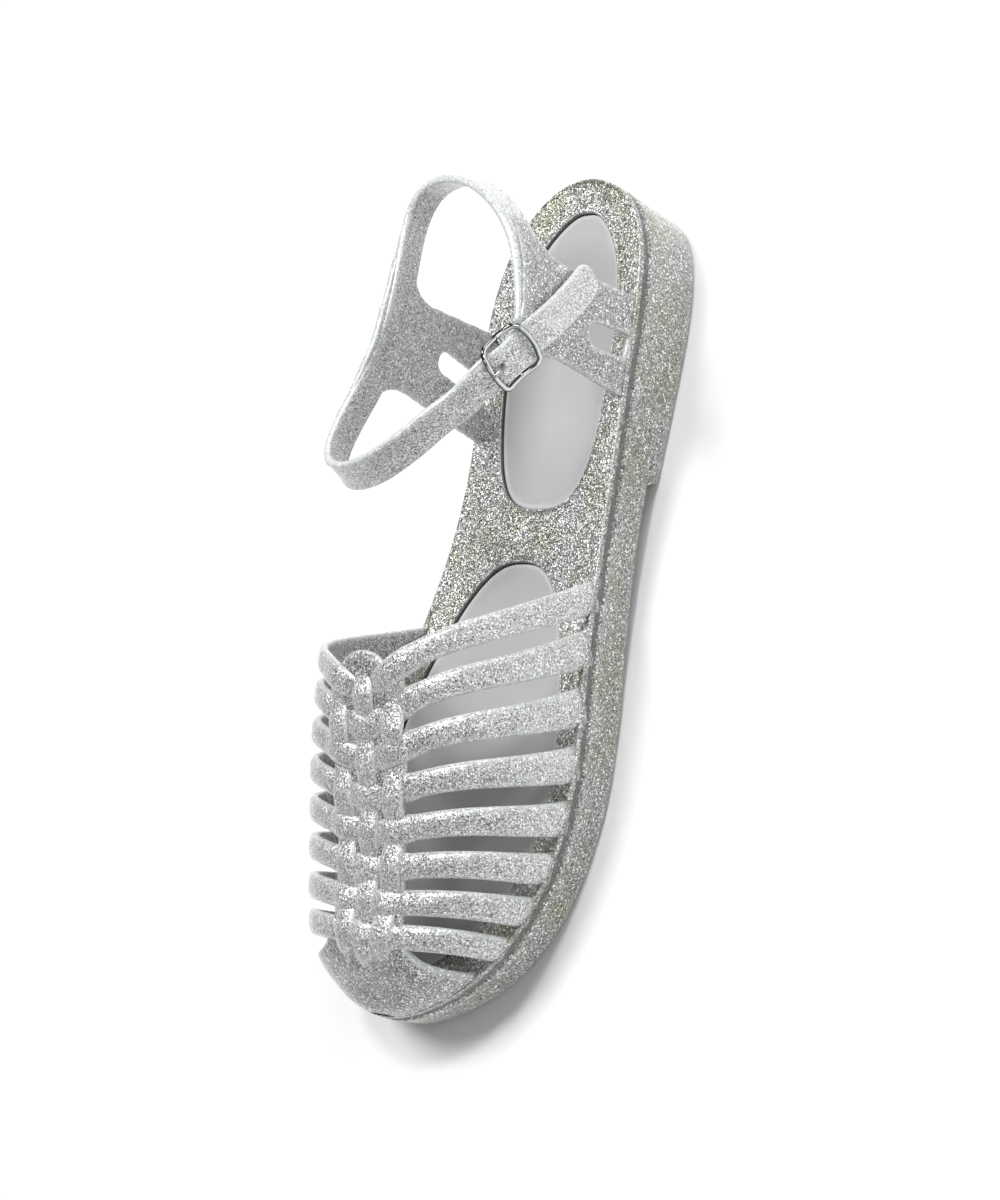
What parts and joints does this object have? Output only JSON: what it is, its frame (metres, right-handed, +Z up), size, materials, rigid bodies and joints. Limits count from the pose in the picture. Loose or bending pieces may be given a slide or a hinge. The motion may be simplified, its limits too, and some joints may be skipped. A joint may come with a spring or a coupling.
{
  "type": "strappy moulded sandal",
  "caption": "Flat moulded plastic sandal, left foot, with a woven strap vamp, side quarters, an ankle band with a fastened buckle and two set-in insole pads",
  "frame": {"origin": "on the ground under the middle of the outline, at the sole's ground face", "axes": "+Z up, toe towards -Y, heel towards +Y, outer side of the left foot towards +X"},
  "size_m": [0.0896, 0.255, 0.0764],
  "materials": {
    "sole_plastic": "clear flexible PVC filled with fine silver glitter, olive grey where it is thick",
    "upper_plastic": "clear flexible PVC filled with fine silver glitter",
    "chrome": "polished wire",
    "pad": "soft grey foam pad with a smooth satin face"
  },
  "bodies": {
    "root": {"sole": "sole_plastic", "upper": "upper_plastic", "buckle_frame": "chrome", "buckle_pin": "chrome", "insole_heel": "pad", "insole_forefoot": "pad"}
  },
  "joints": []
}
